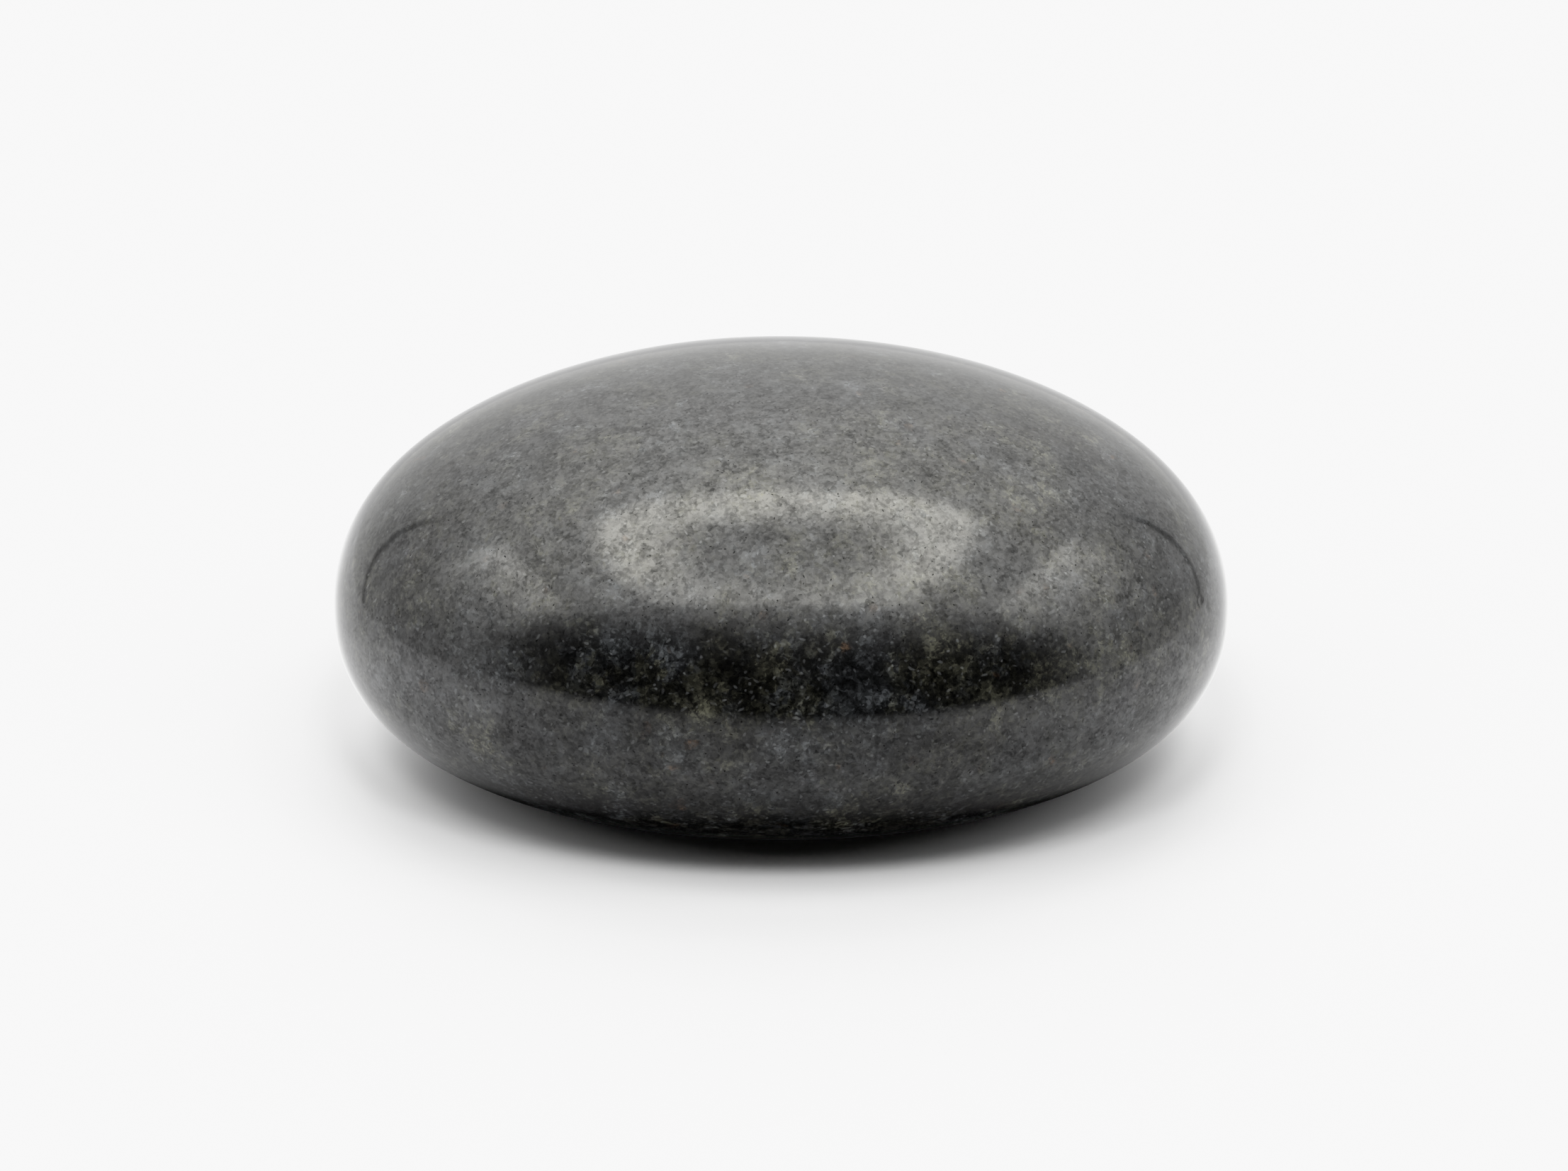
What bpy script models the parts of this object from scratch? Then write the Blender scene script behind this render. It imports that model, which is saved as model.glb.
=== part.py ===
"""River pebble: one water-worn stone, lying on the small flat that it rests on.

A sphere is drawn out to the stone's length, width and height, with sections a
little squarer than an ellipse. The girdle, where the stone is widest, lies
below the middle of its height, so the crown is deeper than the underside.
Broad swells and worn hollows, a few tenths of a millimetre high, take it off
the perfect figure. The underside ends in the resting face, which is flat.

Metres, +Z up, +X along the stone. The origin is on the resting face, under
the middle of the stone.
"""

import math

import bpy
from mathutils import Vector

# Driving dimensions of the finished stone.
LENGTH = 0.080
WIDTH = 0.062
CROWN_HEIGHT = 0.0220  # from the girdle up to the top
GIRDLE_HEIGHT = 0.0164  # from the resting face up to the girdle
WORN_OFF = 0.0006  # what wear has taken off the underside to make the resting face
REST_ROUNDING = 0.0002  # half the height over which the resting face runs out

# Exponents of the sections; 2 is an ellipse, and more is squarer.
PLAN_SQUARENESS = 2.08
SIDE_SQUARENESS = 2.20

# Swells (+) and hollows (-): azimuth, elevation and spread in degrees, as seen
# from the stone's middle, and height in metres.
SWELLS = (
    (90, 62, 22, 0.0002),
    (-122, 28, 26, 0.0003),
    (-58, 32, 24, -0.0003),
    (-88, -14, 20, 0.0002),
    (58, -4, 26, 0.0005),
    (124, 2, 24, -0.0004),
    (96, -42, 24, 0.0003),
    (172, 30, 20, 0.0002),
    (6, -44, 22, -0.0002),
)

SPHERE_SUBDIVISIONS = 5  # an icosphere of 5120 triangles

STONE_COLOR = (0.032, 0.033, 0.031, 1.0)
STONE_ROUGHNESS = 0.32


def clear_scene():
    for obj in list(bpy.data.objects):
        bpy.data.objects.remove(obj, do_unlink=True)


def stone_collection():
    collection = bpy.data.collections.new("river_pebble")
    bpy.context.scene.collection.children.link(collection)
    return collection


def stone_material():
    material = bpy.data.materials.new("dark_stone")
    material.use_nodes = True
    shader = material.node_tree.nodes["Principled BSDF"]
    shader.inputs["Base Color"].default_value = STONE_COLOR
    shader.inputs["Roughness"].default_value = STONE_ROUGHNESS
    shader.inputs["Metallic"].default_value = 0.0
    return material


def unit_direction(azimuth, elevation):
    """Unit vector at an azimuth from +X and an elevation from the girdle, in degrees."""
    turn = math.radians(azimuth)
    lift = math.radians(elevation)
    return Vector((math.cos(lift) * math.cos(turn), math.cos(lift) * math.sin(turn), math.sin(lift)))


def smooth_figure(direction):
    """Point of the stone along a direction, before its swells and its resting face."""
    plan = abs(direction.x) ** PLAN_SQUARENESS + abs(direction.y) ** PLAN_SQUARENESS
    side = plan ** (SIDE_SQUARENESS / PLAN_SQUARENESS) + abs(direction.z) ** SIDE_SQUARENESS
    reach = side ** (-1 / SIDE_SQUARENESS)
    level = direction.z * reach  # -1 at the lowest point, 0 at the girdle, 1 at the top
    depth = GIRDLE_HEIGHT + WORN_OFF
    mean_height = (CROWN_HEIGHT + depth) / 2
    crown_excess = (CROWN_HEIGHT - depth) / 2
    return Vector((
        direction.x * reach * LENGTH / 2,
        direction.y * reach * WIDTH / 2,
        (mean_height + crown_excess * level) * level,
    ))


def swell_height(direction, swells):
    """Sum of the swells at a direction, each a rounded bump about its own axis."""
    total = 0.0
    for axis, spread, height in swells:
        distance = direction.angle(axis) / spread
        total += height * math.exp(-distance * distance)
    return total


def swollen(direction, swells):
    """Point of the stone along a direction, moved out along its normal by the swells."""
    point = smooth_figure(direction)
    thickness = CROWN_HEIGHT + GIRDLE_HEIGHT
    normal = Vector((direction.x / LENGTH, direction.y / WIDTH, direction.z / thickness)).normalized()
    return point + normal * swell_height(direction, swells)


def fit_to_size(points):
    """Centre the stone and bring it to its length, width and crown height."""
    low = [min(point[axis] for point in points) for axis in range(3)]
    high = [max(point[axis] for point in points) for axis in range(3)]
    for point in points:
        point.x = (point.x - (low[0] + high[0]) / 2) * LENGTH / (high[0] - low[0])
        point.y = (point.y - (low[1] + high[1]) / 2) * WIDTH / (high[1] - low[1])
        point.z *= CROWN_HEIGHT / high[2]


def rest_level(height):
    """Height above the resting face: zero on it, with a short rounded run-out."""
    if height <= -REST_ROUNDING:
        return 0.0
    if height >= REST_ROUNDING:
        return height
    return (height + REST_ROUNDING) ** 2 / (4 * REST_ROUNDING)


def build_pebble(collection):
    bpy.ops.mesh.primitive_ico_sphere_add(subdivisions=SPHERE_SUBDIVISIONS, radius=1.0)
    pebble = bpy.context.active_object
    pebble.name = "pebble"
    pebble.data.name = "pebble"
    for holder in list(pebble.users_collection):
        holder.objects.unlink(pebble)
    collection.objects.link(pebble)

    swells = [(unit_direction(turn, lift), math.radians(spread), height)
              for turn, lift, spread, height in SWELLS]
    points = [swollen(vertex.co.normalized(), swells) for vertex in pebble.data.vertices]
    fit_to_size(points)
    for vertex, point in zip(pebble.data.vertices, points):
        vertex.co = (point.x, point.y, rest_level(point.z + GIRDLE_HEIGHT))
    pebble.data.shade_smooth()
    pebble.data.materials.append(stone_material())
    return pebble


clear_scene()
build_pebble(stone_collection())
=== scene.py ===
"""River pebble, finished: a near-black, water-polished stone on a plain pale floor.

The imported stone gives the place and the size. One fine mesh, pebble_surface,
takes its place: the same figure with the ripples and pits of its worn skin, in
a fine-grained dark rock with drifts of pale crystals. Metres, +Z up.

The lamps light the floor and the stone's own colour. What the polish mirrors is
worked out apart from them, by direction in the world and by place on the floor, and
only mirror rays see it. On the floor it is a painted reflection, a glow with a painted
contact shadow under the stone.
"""

import math
import random

import bmesh
import bpy
import numpy as np
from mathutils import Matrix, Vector, kdtree, noise


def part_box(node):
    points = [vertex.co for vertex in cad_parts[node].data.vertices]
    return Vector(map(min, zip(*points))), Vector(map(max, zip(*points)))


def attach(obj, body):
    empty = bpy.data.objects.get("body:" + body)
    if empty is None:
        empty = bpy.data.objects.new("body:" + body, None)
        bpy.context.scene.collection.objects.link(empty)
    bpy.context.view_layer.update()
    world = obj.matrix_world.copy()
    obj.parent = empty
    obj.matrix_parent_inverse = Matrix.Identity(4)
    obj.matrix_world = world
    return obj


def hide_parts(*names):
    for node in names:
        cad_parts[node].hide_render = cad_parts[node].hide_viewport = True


MM = 0.001

# ---------------------------------------------------------------- sizes and levels

# The stone's figure, as in its solid.
WORN_OFF = 0.6 * MM
REST_ROUNDING = 0.2 * MM
GIRDLE_SHARE = 0.0164 / 0.0384  # height of the girdle, as a share of the stone's
# Exponents of the sections; 2 is an ellipse, and more is squarer.
PLAN_SQUARENESS = 2.08
SIDE_SQUARENESS = 2.20
# Swells (+) and hollows (-): azimuth, elevation and spread in degrees, and height.
SWELLS = (
    (90, 62, 22, 0.2 * MM),
    (-122, 28, 26, 0.3 * MM),
    (-58, 32, 24, -0.3 * MM),
    (-88, -14, 20, 0.2 * MM),
    (58, -4, 26, 0.5 * MM),
    (124, 2, 24, -0.4 * MM),
    (96, -42, 24, 0.3 * MM),
    (172, 30, 20, 0.2 * MM),
    (6, -44, 22, -0.2 * MM),
)

# The fine surface.
CUBE_DIVISIONS = 7  # each cube edge is halved this many times: 196608 triangles
RIPPLES = (  # wavelength and height of the polish's unevenness
    (11.0 * MM, 0.030 * MM),
    (4.5 * MM, 0.010 * MM),
    (1.8 * MM, 0.004 * MM),
)
RIPPLE_GAIN = 1.5  # brings the noise, which seldom passes 2/3, to the full height
RIPPLE_SHIFT = (17.3, 5.1, 9.7)  # from one size of ripple to the next, in wavelengths
PIT_COUNT = 160
PIT_RADIUS = (0.35 * MM, 0.70 * MM)
PIT_DEPTH_SHARE = (0.03, 0.08)  # of the pit's radius
SEED = 7

# Rock: patches of pale and dark mineral, and how much each size of patch tells in the tone.
PATTERN_AXIS = (0.4, 0.5, 0.77)  # the patterns are turned off the world's axes
PATTERN_TURN = 0.7  # radians
STIR_SCALE = 1200.0  # to a metre; it roughens the outlines of the grains
STIR_REACH = 0.35 * MM
MASS_SIZE = 4.2 * MM
MASS_WEIGHT = 3.7
CLUMP_SIZE = 1.25 * MM
CLUMP_EDGE = (-0.06, 0.06)
CLUMP_WEIGHT = 1.3
COARSE_GRAIN = 0.62 * MM
COARSE_WEIGHT = 0.7
FINE_GRAIN = 0.27 * MM
FINE_WEIGHT = 1.2
TONE_CONTRAST = 1.15
MIDDLE_TONE = 0.0064  # share of light that it sends back

# Pale crystals: long, round-ended flecks, one to a cell.
CRYSTAL_SPACING = 0.58 * MM
CRYSTAL_RADIUS = 0.155 * MM
CRYSTAL_TONE = (0.030, 0.054)  # of the palest, between the drifts and in them
CRYSTAL_DRIFT = (-0.12, 0.16)  # where in the masses a drift begins and is full
CRYSTAL_COLOR = (0.96, 1.0, 1.02)
FLECK_STRETCH = 2.6  # length of a fleck over its width
FLECK_CORE = 0.4  # share of a fleck's radius that is not part of its soft edge

# Tints of the rock.
BLUE_GREY = (0.93, 1.0, 1.06, 1.0)
OLIVE = (1.01, 1.0, 0.72, 1.0)
HUE_SIZE = 7.0 * MM
HUE_EDGE = (-0.12, 0.12)
HUE_GRAIN = 0.15  # how far single grains stand out of their mass
RUST = (1.6, 1.0, 0.6, 1.0)
RUST_SIZE = 2.4 * MM
RUST_EDGE = (0.20, 0.27)

# Polish. Ore grains, which shine less, are metallic with a dark colour.
ROUGHNESS = 0.085
REFRACTION = 1.6
ORE_SIZE = 2.4 * MM
ORE_MEAN = 0.24
ORE_CLOUD_WEIGHT = 1.3
ORE_FINE_WEIGHT = 0.40
ORE_COARSE_WEIGHT = 0.24
ORE_TONE_WEIGHT = 0.06
ORE_MOST = 0.75
WORN_SPACING = 0.60 * MM
WORN_RADIUS = 0.075 * MM
WORN_CHANCE = (0.35, 0.65)
WORN_METALLIC = 0.9
WORN_SHADE = 0.3
GRIT_SCALE = 3200.0  # to a metre
GRIT_HEIGHT = 0.0015 * MM

# Camera: a long lens, looking down on the stone's front.
CAMERA_ELEVATION = 22.9
CAMERA_DISTANCE = 0.450
CAMERA_LENS = 115.4
CAMERA_SENSOR = 36.0
CAMERA_AIM = (0.26 * MM, 0.0, 17.9 * MM)
CAMERA_RANGE = (0.01, 100.0)

# Soft lamps, which light the floor and the stone's own colour: azimuth from the camera's
# side, elevation and width in degrees, and the luminance that each gives the open floor.
LAMPS = (
    (13.5, 49.0, 12.3, 0.155),
    (-13.5, 49.0, 12.3, 0.155),
    (50.6, 48.8, 43.7, 0.280),
    (-50.6, 48.8, 43.7, 0.280),
    (163.4, 57.1, 65.4, 0.210),
    (-163.4, 57.1, 65.4, 0.210),
)
FLOOR_COLOR = 0.80
FLOOR_HALF_WIDTH = 20.0
BACKGROUND = 1.29  # the lamps' sum, so that the floor has no edge

# Film response: straight in the stone's tones, and rolled off in the near-white floor.
FILM = (
    (0.0, 0.0), (0.4, 0.4), (0.73, 0.73), (0.80, 0.790), (0.90, 0.848), (1.0, 0.887),
    (1.15, 0.920), (1.3, 0.937), (1.6, 0.950), (3.0, 0.957),
)

# The studio as the polish mirrors it. A pair of places is where a part of it begins to show
# and where it shows in full.
ROOM = (  # luminance by elevation, to the sides and behind the stone
    (-90, 0.15), (-75, 0.22), (-64, 0.45), (-53, 0.85), (-43, 1.15), (-33, 1.45), (-20, 1.45),
    (-8, 1.22), (0, 1.15), (12, 1.23), (22, 1.42), (32, 1.76), (42, 2.30), (52, 2.90), (60, 3.20),
    (70, 3.9), (80, 4.3), (90, 4.3),
)
ROOM_GAIN = (1.04, 1.08)  # to the sides, and behind
ROOM_BACK = (140.0, 172.0)  # azimuth from the camera's side
WARMTH = (0.002, -0.009)  # rise of red and of blue, to one unit of luminance
# Least part of a direction that is divided by: to the side, ahead and upwards.
LEAST_SIDE = 0.001
LEAST_AHEAD = 0.02
LEAST_UP = 0.02

# Side lights, on upright planes beside the stone: places are shares of the plane's distance.
SIDE_BACK = (-0.34, -0.12)
SIDE_FRONT = (0.95, 0.30)
SIDE_TOP = (1.18, 0.98)
SIDE_FOOT = (0.0, 0.12)
SIDE_LEVEL = 1.15
SIDE_CLIMB = 4.0  # rise of the luminance at a height of one distance
SIDE_CLIMB_POWER = 1.9

# Dark front, on an upright plane before the stone, measured in the same way.
FRONT = (  # luminance by elevation
    (-90, 0.28), (-78, 0.38), (-68, 0.54), (-53, 0.74), (-43, 0.86), (-33, 0.92), (-27, 0.88),
    (-21, 0.74), (-13, 0.46), (-8, 0.22), (-2, 0.04), (10, 0.02), (20, 0.05), (27, 0.12), (33, 0.14),
    (38, 0.22), (42, 0.45), (46, 0.9), (90, 1.2),
)
FRONT_MIDDLE = 0.15  # to the right of the camera
FRONT_SIDES = (3.0, 0.80)
FRONT_TOP = (1.65, 0.45)
FRONT_BACK = (0.0, 0.05)

# Overhead light, on a level plane above, measured in the same way: a dimmer panel, which is
# a rounded square, with a bright rim.
PANEL_MIDDLE = (0.035, 0.24)  # to the right, and towards the camera
PANEL_HALF = (0.42, 0.41)
PANEL_SQUARENESS = 4.0
PANEL_EDGE = (1.1, 0.9)
PANEL_LEVEL = 3.35
RIM_OUTWARDS = (0.34, 0.50)  # at the back, and towards the camera
RIM_OUTWARDS_TURN = (0.4, 0.7)  # where it goes from the one to the other
RIM_INWARDS = 0.62
RIM_FULL = 0.06
RIM_LEVEL = (7.4, 4.9)  # at the back, and towards the camera
RIM_LEVEL_TURN = (0.3, 0.6)

# Thin upright edges of the backdrop, to both sides: angles in degrees.
STAND_AZIMUTH = 129.5
STAND_HALF_WIDTH = (1.7, 0.9)
STAND_TOP = (38.0, 20.0)
STAND_FOOT = (-9.0, -6.0)
STAND_STRAIGHT = 16.0  # elevation where they are upright; above and below, they bend forwards
STAND_BEND = 0.015
STAND_LEVEL = 0.45

# Painted reflection of the floor, as the polish mirrors it, by distance to the side and
# towards the camera: a glow with a painted contact shadow under the stone, painted shade
# far in front and painted light to the sides and behind.
PAINTED_SHADOW_LEVEL = 0.004
PAINTED_SHADOW_REACH = (27.3 * MM, 45.7 * MM)  # from the stone's middle
PAINTED_SHADOW_SHAPE = (1.0, 1.09, 0.0)  # the painted contact shadow is longer along the stone than across it
FLOOR_AHEAD = 0.96
FLOOR_BESIDE = (26 * MM, 68 * MM)  # to the side, where the painted reflection grows twice as bright
FLOOR_BESIDE_FADE = (30 * MM, 60 * MM)  # towards the camera, where less of that is left
FLOOR_BESIDE_FAR = 0.45
PAINTED_FRONT_SHADE = (52 * MM, 205 * MM)  # towards the camera, where painted shade darkens the painted reflection
PAINTED_FRONT_SHADE_SIDES = (2.3, 0.9)  # side over front
PAINTED_FRONT_SHADE_LEVEL = 0.02
FLOOR_BEHIND = (0.0, -28 * MM)
FLOOR_BEHIND_SIDES = (0.4, 1.1)  # side over back
FLOOR_BEHIND_GAIN = 1.52
TABLE_EDGE = (165 * MM, 215 * MM)  # to the side; past it the polish mirrors the room
LEAST_DISTANCE = 1 * MM  # least front or back that a side is divided by


class Graph:
    """Writes the node tree of a material or world, from empty, as nested calls.

    feed() sets or links an input. node() returns the node that it adds, split() returns three
    outputs, and the others return one.
    """

    def __init__(self, owner):
        owner.use_nodes = True
        self.tree = owner.node_tree
        self.tree.nodes.clear()

    def node(self, kind, inputs=(), **settings):
        made = self.tree.nodes.new(kind)
        for name, value in settings.items():
            setattr(made, name, value)
        for name, value in dict(inputs).items():
            self.feed(made.inputs[name], value)
        return made

    def feed(self, socket, value):
        if isinstance(value, bpy.types.NodeSocket):
            self.tree.links.new(value, socket)
        else:
            socket.default_value = value

    def math(self, operation, *values):
        made = self.node("ShaderNodeMath", operation=operation)
        for socket, value in zip(made.inputs, values):
            self.feed(socket, value)
        return made.outputs[0]

    def add(self, a, b):
        return self.math("ADD", a, b)

    def sub(self, a, b):
        return self.math("SUBTRACT", a, b)

    def mul(self, a, *others):
        for b in others:
            a = self.math("MULTIPLY", a, b)
        return a

    def div(self, a, b):
        return self.math("DIVIDE", a, b)

    def power(self, a, exponent):
        return self.math("POWER", a, exponent)

    def magnitude(self, a):
        return self.math("ABSOLUTE", a)

    def at_least(self, a, least):
        return self.math("MAXIMUM", a, least)

    def step(self, value, low, high):
        """0 where value is at low, 1 where it is at high, and smooth between; low may be the larger."""
        made = self.node(
            "ShaderNodeMapRange",
            {"Value": value, "From Min": low, "From Max": high},
            interpolation_type="SMOOTHSTEP",
        )
        return made.outputs["Result"]

    def blend(self, a, b, share):
        made = self.node("ShaderNodeMix", data_type="FLOAT")
        for index, value in ((0, share), (2, a), (3, b)):
            self.feed(made.inputs[index], value)
        return made.outputs[0]

    def blend_colors(self, a, b, share):
        made = self.node("ShaderNodeMix", data_type="RGBA")
        for index, value in ((0, share), (6, a), (7, b)):
            self.feed(made.inputs[index], value)
        return made.outputs[2]

    def blend_shaders(self, a, b, share):
        made = self.node("ShaderNodeMixShader", {"Fac": share})
        for index, shader in ((1, a), (2, b)):
            self.feed(made.inputs[index], shader)
        return made.outputs[0]

    def vector(self, operation, *values):
        made = self.node("ShaderNodeVectorMath", operation=operation)
        slots = [s for s in made.inputs if s.enabled]
        for socket, value in zip(slots, values):
            self.feed(socket, value)
        return made.outputs["Value" if operation in ("LENGTH", "DOT_PRODUCT") else "Vector"]

    def split(self, vector):
        return self.node("ShaderNodeSeparateXYZ", {"Vector": vector}).outputs


def link(data, name):
    """A new object of some data, in the scene."""
    made = bpy.data.objects.new(name, data)
    bpy.context.scene.collection.objects.link(made)
    return made


# ---------------------------------------------------------------- shape


def unit_direction(azimuth, elevation):
    turn = math.radians(azimuth)
    lift = math.radians(elevation)
    return np.array([math.cos(lift) * math.cos(turn), math.cos(lift) * math.sin(turn), math.sin(lift)])


def divided_cube():
    """A cube with every face divided evenly, as a mesh."""
    mesh = bpy.data.meshes.new("cube")
    bm = bmesh.new()
    bmesh.ops.create_cube(bm, size=2.0)
    bm.to_mesh(mesh)
    bm.free()
    cube = link(mesh, "cube")
    divide = cube.modifiers.new("divide", "SUBSURF")
    divide.subdivision_type = "SIMPLE"
    divide.levels = CUBE_DIVISIONS
    divide.render_levels = CUBE_DIVISIONS
    depsgraph = bpy.context.evaluated_depsgraph_get()
    fine = bpy.data.meshes.new_from_object(cube.evaluated_get(depsgraph))
    bpy.data.objects.remove(cube)
    bpy.data.meshes.remove(mesh)
    return fine


def read_points(mesh):
    flat = np.empty(len(mesh.vertices) * 3, np.float32)
    mesh.vertices.foreach_get("co", flat)
    return flat.reshape(-1, 3).astype(float)


def write_points(mesh, points):
    mesh.vertices.foreach_set("co", points.astype(np.float32).ravel())
    mesh.update()


def smooth_figure(direction, size, girdle):
    """Points of the stone along unit directions, before its swells and its resting face."""
    crown = size[2] - girdle
    depth = girdle + WORN_OFF
    x, y, z = direction.T
    plan = abs(x) ** PLAN_SQUARENESS + abs(y) ** PLAN_SQUARENESS
    side = plan ** (SIDE_SQUARENESS / PLAN_SQUARENESS) + abs(z) ** SIDE_SQUARENESS
    reach = side ** (-1 / SIDE_SQUARENESS)
    level = z * reach  # -1 at the lowest point, 0 at the girdle, 1 at the top
    height = ((crown + depth) / 2 + (crown - depth) / 2 * level) * level
    return np.stack([x * reach * size[0] / 2, y * reach * size[1] / 2, height], axis=1)


def swell_height(direction):
    """Sum of the swells along unit directions, each a rounded bump about its own axis."""
    total = np.zeros(len(direction))
    for azimuth, elevation, spread, rise in SWELLS:
        turn = np.arccos(np.clip(direction @ unit_direction(azimuth, elevation), -1, 1))
        total += rise * np.exp(-(turn / math.radians(spread)) ** 2)
    return total


def stone_figure(direction, size, girdle):
    """Points and normals of the stone before its ripples and pits, from its girdle's middle."""
    normal = direction / size
    normal /= np.linalg.norm(normal, axis=1, keepdims=True)
    points = smooth_figure(direction, size, girdle) + normal * swell_height(direction)[:, None]
    low, high = points.min(0), points.max(0)
    points[:, :2] = (points[:, :2] - (low[:2] + high[:2]) / 2) * size[:2] / (high[:2] - low[:2])
    points[:, 2] *= (size[2] - girdle) / high[2]
    return points, normal


def rest_level(height):
    """Height above the resting face: zero on it, with a short rounded run-out."""
    rounded = (height + REST_ROUNDING) ** 2 / (4 * REST_ROUNDING)
    return np.where(height >= REST_ROUNDING, height, np.where(height <= -REST_ROUNDING, 0.0, rounded))


def ripple_depth(points):
    """How far the surface dips below the smooth figure, from its uneven polish."""
    depth = np.zeros(len(points))
    for order, (length, height) in enumerate(RIPPLES):
        shift = Vector(RIPPLE_SHIFT) * order
        wave = np.array([noise.noise(Vector(p) / length + shift) for p in points])
        depth += height * (0.5 - 0.5 * np.clip(wave * RIPPLE_GAIN, -1, 1))
    return depth


def pit_depth(points):
    """Depth of the scattered pits at each point: round bowls, of which the deepest one counts."""
    tree = kdtree.KDTree(len(points))
    for index, point in enumerate(points):
        tree.insert(point, index)
    tree.balance()
    chance = random.Random(SEED)
    smallest, largest = PIT_RADIUS
    depth = np.zeros(len(points))
    for _ in range(PIT_COUNT):
        centre = points[chance.randrange(len(points))]
        radius = smallest + (largest - smallest) * chance.random() ** 2  # most are small
        deepest = radius * chance.uniform(*PIT_DEPTH_SHARE)
        for _, index, distance in tree.find_range(centre, radius):
            bowl = deepest * (1 - (distance / radius) ** 2) ** 2
            depth[index] = max(depth[index], bowl)
    return depth


def build_stone():
    low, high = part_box("pebble")
    size = np.array(high - low)
    middle = np.array((low + high) / 2)
    girdle = size[2] * GIRDLE_SHARE
    mesh = divided_cube()
    direction = np.tan(read_points(mesh) * math.pi / 4)  # spreads the points evenly on a sphere
    direction /= np.linalg.norm(direction, axis=1, keepdims=True)
    points, normal = stone_figure(direction, size, girdle)
    sunk = ripple_depth(points) + pit_depth(points)
    points -= normal * sunk[:, None]
    points[:, 2] = rest_level(points[:, 2] + girdle)
    points += np.array([middle[0], middle[1], low[2]])
    write_points(mesh, points)
    mesh.name = "pebble_surface"
    mesh.shade_smooth()
    mesh.materials.append(stone_material())
    return link(mesh, "pebble_surface")


# ---------------------------------------------------------------- stone material

# Each pattern below has its own shift, in metres, so that no two of them match.


def clouds(g, place, size, detail, roughness, shift):
    """Noise centred on zero."""
    made = g.node("ShaderNodeTexNoise", {
        "Vector": g.vector("ADD", place, shift),
        "Scale": 1 / size, "Detail": detail, "Roughness": roughness})
    return g.sub(made.outputs["Fac"], 0.5)


def grains(g, place, size, shift):
    """Three chance numbers for each grain, centred on zero."""
    made = g.node("ShaderNodeTexVoronoi", {"Vector": g.vector("ADD", place, shift), "Scale": 1 / size})
    return g.split(g.vector("SUBTRACT", made.outputs["Color"], (0.5, 0.5, 0.5)))


def flecks(g, place, spacing, radius, shift):
    """Mask of long round-ended flecks, one to a cell, with each cell's chance number."""
    spot = g.vector("ADD", place, shift)
    cells = g.node("ShaderNodeTexVoronoi", {"Vector": spot, "Scale": 1 / spacing})
    offset = g.vector("SUBTRACT", spot, cells.outputs["Position"])
    lean = g.vector("SUBTRACT", cells.outputs["Color"], (0.5, 0.5, 0.5))
    along = g.vector("DOT_PRODUCT", offset, g.vector("NORMALIZE", lean))
    whole = g.vector("DOT_PRODUCT", offset, offset)
    spread = g.sub(whole, g.mul(along, along, 1 - 1 / FLECK_STRETCH ** 2))
    mask = g.step(spread, radius ** 2, (radius * FLECK_CORE) ** 2)
    return mask, g.split(cells.outputs["Color"])[0]


def tinted(g, place, value, grain_chance):
    """The rock's tone, in olive and blue-grey masses, with a few soft rusty stains."""
    masses = clouds(g, place, HUE_SIZE, detail=1.0, roughness=0.7, shift=(0.3, 0.0, 0.0))
    olive = g.step(g.add(masses, g.mul(grain_chance, HUE_GRAIN)), *HUE_EDGE)
    stains = clouds(g, place, RUST_SIZE, detail=1.0, roughness=0.5, shift=(0.0, 0.3, 0.0))
    hue = g.blend_colors(g.blend_colors(BLUE_GREY, OLIVE, olive), RUST, g.step(stains, *RUST_EDGE))
    return g.vector("SCALE", hue, value)


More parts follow.
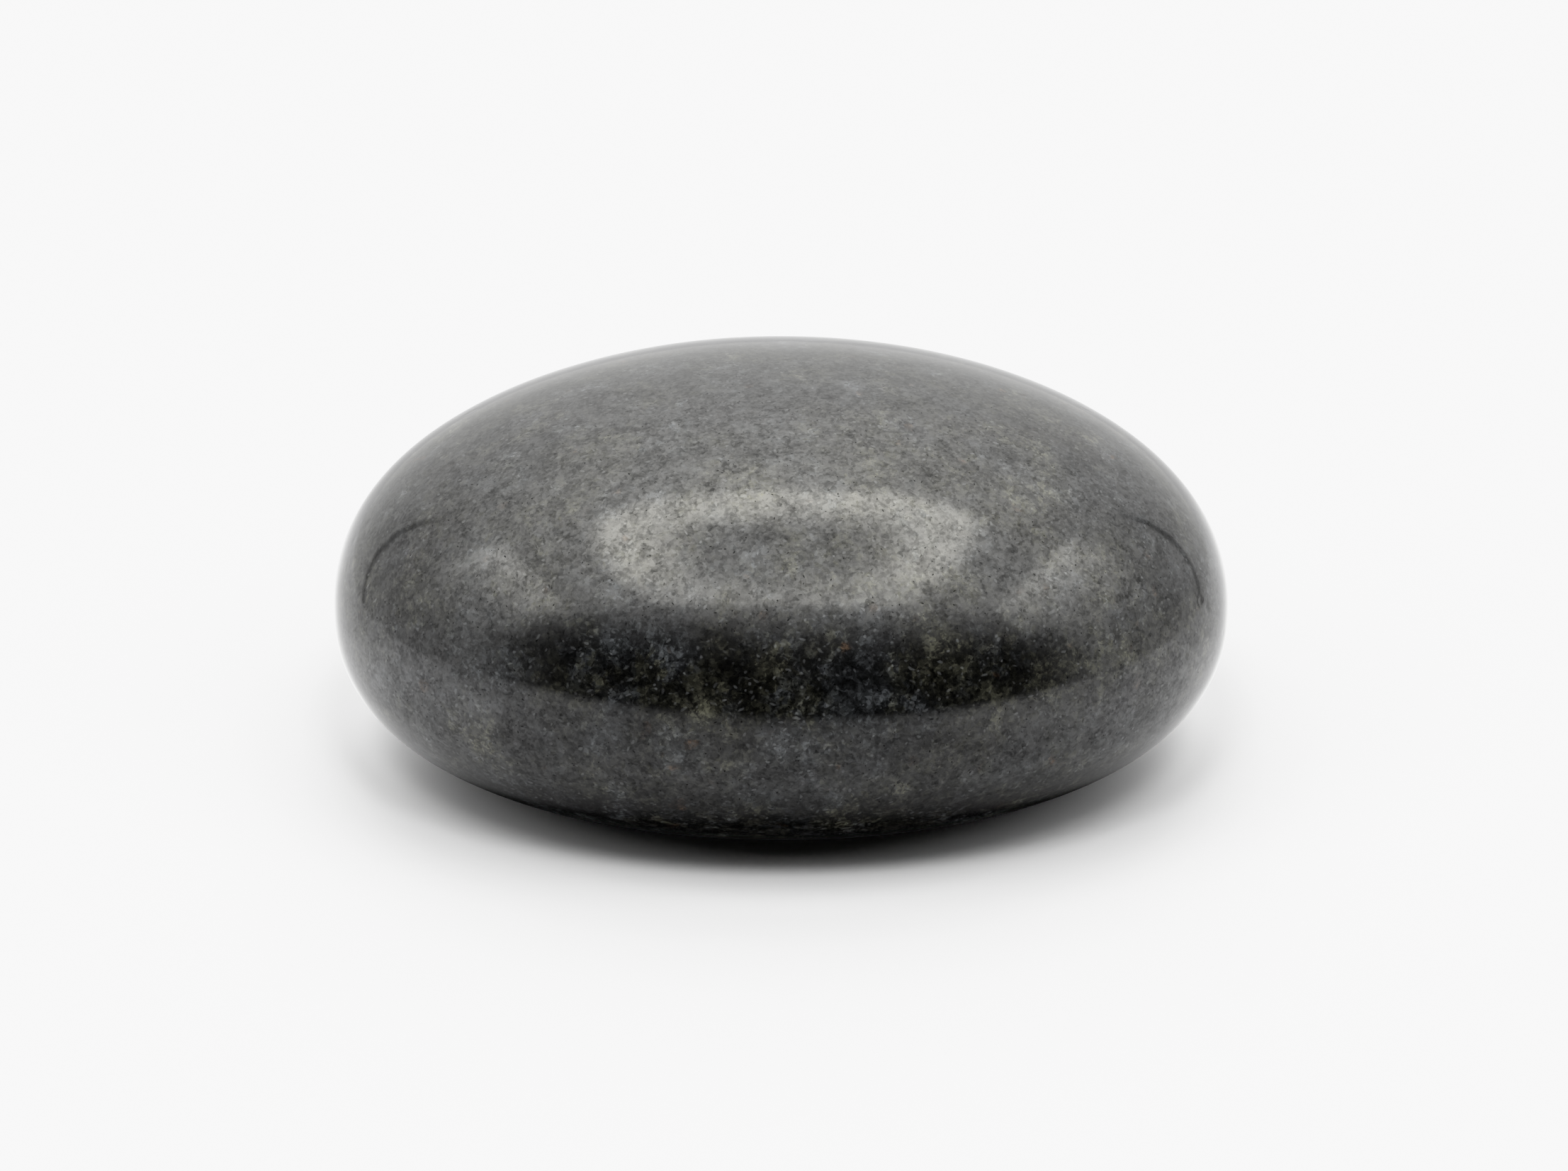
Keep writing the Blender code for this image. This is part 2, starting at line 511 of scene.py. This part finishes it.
def stone_material():
    material = bpy.data.materials.new("polished_dark_stone")
    g = Graph(material)
    surface = g.node("ShaderNodeTexCoord").outputs["Object"]
    spot = g.node("ShaderNodeVectorRotate", {
        "Vector": surface, "Axis": PATTERN_AXIS, "Angle": PATTERN_TURN}).outputs[0]
    stir = g.node("ShaderNodeTexNoise", {"Vector": spot, "Scale": STIR_SCALE, "Detail": 1.0})
    stir = g.vector("SUBTRACT", stir.outputs["Color"], (0.5, 0.5, 0.5))
    place = g.vector("ADD", spot, g.vector("SCALE", stir, STIR_REACH))

    # Rock: masses, clumps and grains, from 4 mm down to 0.3 mm.
    mass = clouds(g, place, MASS_SIZE, detail=1.0, roughness=0.8, shift=(0.0, 0.0, 0.0))
    clump = clouds(g, place, CLUMP_SIZE, detail=3.0, roughness=0.75, shift=(0.0, 0.15, 0.0))
    clump = g.sub(g.step(clump, *CLUMP_EDGE), 0.5)
    coarse = grains(g, place, COARSE_GRAIN, shift=(0.05, 0.0, 0.0))
    fine = grains(g, place, FINE_GRAIN, shift=(0.0, 0.05, 0.0))
    patches = g.add(g.mul(mass, MASS_WEIGHT), g.mul(clump, CLUMP_WEIGHT))
    tone = g.add(patches, g.add(g.mul(coarse[0], COARSE_WEIGHT), g.mul(fine[0], FINE_WEIGHT)))
    value = g.mul(g.math("EXPONENT", g.mul(tone, TONE_CONTRAST)), MIDDLE_TONE)
    color = tinted(g, place, value, coarse[2])

    # Pale crystals, in drifts.
    mask, chance = flecks(g, place, CRYSTAL_SPACING, CRYSTAL_RADIUS, shift=(0.02, 0.03, 0.0))
    crystal = g.mul(g.power(chance, 3.0), mask)
    pale = g.mul(crystal, g.blend(*CRYSTAL_TONE, g.step(mass, *CRYSTAL_DRIFT)))
    color = g.vector("ADD", color, g.vector("SCALE", CRYSTAL_COLOR, pale))

    # Polish: pale crystals take it fully, dark ore grains less, and short worn marks break it.
    ore_clouds = clouds(g, place, ORE_SIZE, detail=4.0, roughness=0.95, shift=(0.1, 0.0, 0.0))
    ore = g.sub(ORE_MEAN, g.add(g.mul(ore_clouds, ORE_CLOUD_WEIGHT), g.mul(fine[1], ORE_FINE_WEIGHT)))
    ore = g.sub(ore, g.add(g.mul(coarse[1], ORE_COARSE_WEIGHT), g.mul(tone, ORE_TONE_WEIGHT)))
    metallic = g.node("ShaderNodeClamp", {"Value": ore, "Min": 0.0, "Max": ORE_MOST}).outputs[0]
    mask, chance = flecks(g, place, WORN_SPACING, WORN_RADIUS, shift=(0.03, 0.01, 0.02))
    worn = g.mul(mask, g.step(chance, *WORN_CHANCE))
    metallic = g.mul(g.blend(metallic, WORN_METALLIC, worn), g.sub(1.0, crystal))
    color = g.vector("SCALE", color, g.blend(1.0, WORN_SHADE, worn))

    grit = g.node("ShaderNodeTexNoise", {"Vector": spot, "Scale": GRIT_SCALE, "Detail": 2.0})
    bump = g.node("ShaderNodeBump", {
        "Height": grit.outputs["Fac"], "Strength": 1.0, "Distance": GRIT_HEIGHT})
    shader = g.node("ShaderNodeBsdfPrincipled", {
        "Base Color": color, "Metallic": metallic, "Roughness": ROUGHNESS, "IOR": REFRACTION,
        "Normal": bump.outputs[0]})
    g.node("ShaderNodeOutputMaterial", {"Surface": shader.outputs[0]})
    return material


# ---------------------------------------------------------------- studio


def level_by_lift(g, lift, stops):
    """Luminance along a vertical arc, from stops of elevation and luminance."""
    top = max(level for _, level in stops)
    ramp = g.node("ShaderNodeValToRGB", {"Fac": g.div(g.add(lift, 90.0), 180.0)})
    marks = ramp.color_ramp.elements
    while len(marks) < len(stops):
        marks.new(0.5)
    for mark, (angle, level) in zip(marks, stops):
        mark.position = (angle + 90) / 180
        mark.color = (level / top, level / top, level / top, 1.0)
    return g.mul(ramp.outputs["Color"], top)


def with_side_lights(g, level, front, side, height):
    """Side lights, which grow brighter upwards."""
    along = g.div(front, side)
    rise = g.div(height, side)
    box = g.mul(g.step(along, *SIDE_BACK), g.step(along, *SIDE_FRONT), g.step(rise, *SIDE_TOP))
    glow = g.add(SIDE_LEVEL, g.mul(SIDE_CLIMB, g.power(g.at_least(rise, 0.0), SIDE_CLIMB_POWER)))
    return g.blend(level, glow, g.mul(box, g.step(rise, *SIDE_FOOT)))


def with_dark_front(g, level, axes, front, lift):
    ahead = g.at_least(front, LEAST_AHEAD)
    wide = g.magnitude(g.sub(g.div(axes[0], ahead), FRONT_MIDDLE))
    tall = g.div(axes[2], ahead)
    gap = g.mul(g.step(wide, *FRONT_SIDES), g.step(tall, *FRONT_TOP), g.step(front, *FRONT_BACK))
    return g.blend(level, level_by_lift(g, lift, FRONT), gap)


def with_overhead_light(g, level, axes, front):
    up = g.at_least(axes[2], LEAST_UP)
    forward = g.div(front, up)
    from_middle = (g.sub(g.div(axes[0], up), PANEL_MIDDLE[0]), g.sub(forward, PANEL_MIDDLE[1]))
    shares = [g.power(g.magnitude(g.div(offset, half)), PANEL_SQUARENESS)
              for offset, half in zip(from_middle, PANEL_HALF)]
    edge = g.power(g.add(*shares), 1 / PANEL_SQUARENESS)  # 1 on the panel's outline
    level = g.blend(level, PANEL_LEVEL, g.step(edge, *PANEL_EDGE))
    reach = g.blend(*RIM_OUTWARDS, g.step(forward, *RIM_OUTWARDS_TURN))
    outside = g.step(g.sub(edge, 1.0), reach, RIM_FULL)
    inside = g.step(g.sub(1.0, edge), RIM_INWARDS, RIM_FULL)
    hot = g.blend(*RIM_LEVEL, g.step(forward, *RIM_LEVEL_TURN))
    return g.blend(level, hot, g.mul(outside, inside))


def with_backdrop_edges(g, level, turn, lift):
    bend = g.mul(g.power(g.sub(lift, STAND_STRAIGHT), 2.0), STAND_BEND)
    off = g.magnitude(g.sub(g.add(turn, bend), STAND_AZIMUTH))
    stand = g.mul(g.step(off, *STAND_HALF_WIDTH), g.step(lift, *STAND_TOP), g.step(lift, *STAND_FOOT))
    return g.blend(level, STAND_LEVEL, stand)


def studio_level(g, direction):
    """Luminance of the studio by direction, as the polish mirrors it."""
    axes = g.split(direction)
    side = g.at_least(g.magnitude(axes[0]), LEAST_SIDE)
    front = g.mul(axes[1], -1.0)
    turn = g.math("DEGREES", g.math("ARCTAN2", side, front))
    lift = g.math("DEGREES", g.math("ARCSINE", axes[2]))
    level = g.mul(level_by_lift(g, lift, ROOM), g.blend(*ROOM_GAIN, g.step(turn, *ROOM_BACK)))
    level = with_side_lights(g, level, front, side, axes[2])
    level = with_dark_front(g, level, axes, front, lift)
    level = with_overhead_light(g, level, axes, front)
    return with_backdrop_edges(g, level, turn, lift)


def build_world():
    """Mirror rays see the studio, the camera sees the background, and other rays see nothing."""
    world = bpy.data.worlds.new("studio")
    bpy.context.scene.world = world
    g = Graph(world)
    direction = g.node("ShaderNodeTexCoord").outputs["Generated"]
    seen = g.node("ShaderNodeLightPath").outputs["Is Camera Ray"]
    level = g.blend(studio_level(g, direction), BACKGROUND, seen)
    bright = g.mul(g.sub(1.0, seen), level)
    red, blue = (g.mul(level, g.add(1.0, g.mul(bright, rise))) for rise in WARMTH)
    color = g.node("ShaderNodeCombineColor", {"Red": red, "Green": level, "Blue": blue})
    shader = g.node("ShaderNodeBackground", {"Color": color.outputs[0], "Strength": 1.0})
    g.node("ShaderNodeOutputWorld", {"Surface": shader.outputs[0]})
    world.cycles_visibility.diffuse = False
    world.cycles.sampling_method = "NONE"


def build_lamps():
    for number, (azimuth, elevation, width, level) in enumerate(LAMPS):
        data = bpy.data.lights.new("lamp_%d" % number, "SUN")
        data.angle = math.radians(width)
        data.energy = level * math.pi / FLOOR_COLOR / math.sin(math.radians(elevation))
        data.cycles.use_multiple_importance_sampling = False
        lamp = link(data, data.name)
        towards = Vector(unit_direction(azimuth - 90, elevation))
        lamp.rotation_euler = towards.to_track_quat("Z", "Y").to_euler()
        lamp.visible_glossy = False


def painted_floor_reflection(g, place):
    """Painted reflection of the floor's luminance: a painted contact shadow under the stone, painted
    shade far in front.
    """
    axes = g.split(place)
    side = g.magnitude(axes[0])
    front = g.mul(axes[1], -1.0)
    reach = g.vector("LENGTH", g.vector("MULTIPLY", place, PAINTED_SHADOW_SHAPE))
    # Painted contact shadow: dark under the stone.
    near = g.blend(PAINTED_SHADOW_LEVEL, 1.0, g.step(reach, *PAINTED_SHADOW_REACH))

    # Painted light: brighter to the sides, less so towards the camera.
    far = g.blend(1.0, FLOOR_BESIDE_FAR, g.step(front, *FLOOR_BESIDE_FADE))
    beside = g.mul(g.step(side, *FLOOR_BESIDE), far)
    wide = g.div(side, g.at_least(front, LEAST_DISTANCE))
    # Painted shade: dark far in front.
    dark = g.mul(g.step(front, *PAINTED_FRONT_SHADE), g.step(wide, *PAINTED_FRONT_SHADE_SIDES))
    ahead = g.mul(FLOOR_AHEAD, g.add(1.0, beside), g.blend(1.0, PAINTED_FRONT_SHADE_LEVEL, dark))

    # Painted light behind the stone, brighter to the sides.
    aslant = g.div(side, g.at_least(g.mul(front, -1.0), LEAST_DISTANCE))
    behind = g.blend(1.0, FLOOR_BEHIND_GAIN, g.step(aslant, *FLOOR_BEHIND_SIDES))
    return g.mul(near, g.blend(ahead, behind, g.step(front, *FLOOR_BEHIND)))


def floor_material():
    """Plain for all rays but mirror rays, which see its glow, a painted reflection, and the room past
    the table's edge.
    """
    material = bpy.data.materials.new("pale_floor")
    material.cycles.emission_sampling = "NONE"
    g = Graph(material)
    place = g.node("ShaderNodeNewGeometry").outputs["Position"]
    plain = g.node("ShaderNodeBsdfDiffuse", {"Color": (FLOOR_COLOR, FLOOR_COLOR, FLOOR_COLOR, 1.0)})
    # The glow is a painted reflection of the floor, with a painted contact shadow.
    glow = g.node("ShaderNodeEmission", {"Color": painted_floor_reflection(g, place), "Strength": 1.0})
    room = g.node("ShaderNodeBsdfTransparent")
    beyond = g.step(g.magnitude(g.split(place)[0]), *TABLE_EDGE)
    mirrored = g.node("ShaderNodeLightPath").outputs["Is Glossy Ray"]
    table = g.blend_shaders(glow.outputs[0], room.outputs[0], beyond)
    g.node("ShaderNodeOutputMaterial", {"Surface": g.blend_shaders(plain.outputs[0], table, mirrored)})
    return material


def build_floor():
    mesh = bpy.data.meshes.new("floor")
    bm = bmesh.new()
    bmesh.ops.create_grid(bm, x_segments=1, y_segments=1, size=FLOOR_HALF_WIDTH)
    bm.to_mesh(mesh)
    bm.free()
    mesh.materials.append(floor_material())
    floor = link(mesh, "floor")


def set_film():
    view = bpy.context.scene.view_settings
    view.view_transform = "Standard"
    view.use_curve_mapping = True
    curves = view.curve_mapping
    curves.clip_max_x = FILM[-1][0]
    points = curves.curves[3].points  # the curve for all three colours together
    while len(points) < len(FILM):
        points.new(0.5, 0.5)
    for point, stop in zip(points, FILM):
        point.location = stop
        point.handle_type = "VECTOR"
    curves.update()


def build_camera():
    data = bpy.data.cameras.new("camera")
    data.lens = CAMERA_LENS
    data.sensor_fit = "HORIZONTAL"
    data.sensor_width = CAMERA_SENSOR
    data.clip_start, data.clip_end = CAMERA_RANGE
    camera = link(data, "camera")
    lift = math.radians(CAMERA_ELEVATION)
    back = Vector((0.0, -math.cos(lift), math.sin(lift)))
    camera.location = Vector(CAMERA_AIM) + back * CAMERA_DISTANCE
    camera.rotation_euler = back.to_track_quat("Z", "Y").to_euler()
    bpy.context.scene.camera = camera


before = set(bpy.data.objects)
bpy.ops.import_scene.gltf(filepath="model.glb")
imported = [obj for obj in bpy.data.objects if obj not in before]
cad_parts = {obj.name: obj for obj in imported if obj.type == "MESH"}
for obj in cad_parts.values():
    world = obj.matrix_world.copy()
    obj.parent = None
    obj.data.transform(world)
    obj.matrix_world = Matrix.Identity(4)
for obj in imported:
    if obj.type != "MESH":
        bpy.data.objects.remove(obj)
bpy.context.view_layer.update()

pebble = build_stone()
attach(pebble, "root")
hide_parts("pebble")

build_floor()
build_lamps()
build_world()
build_camera()
set_film()
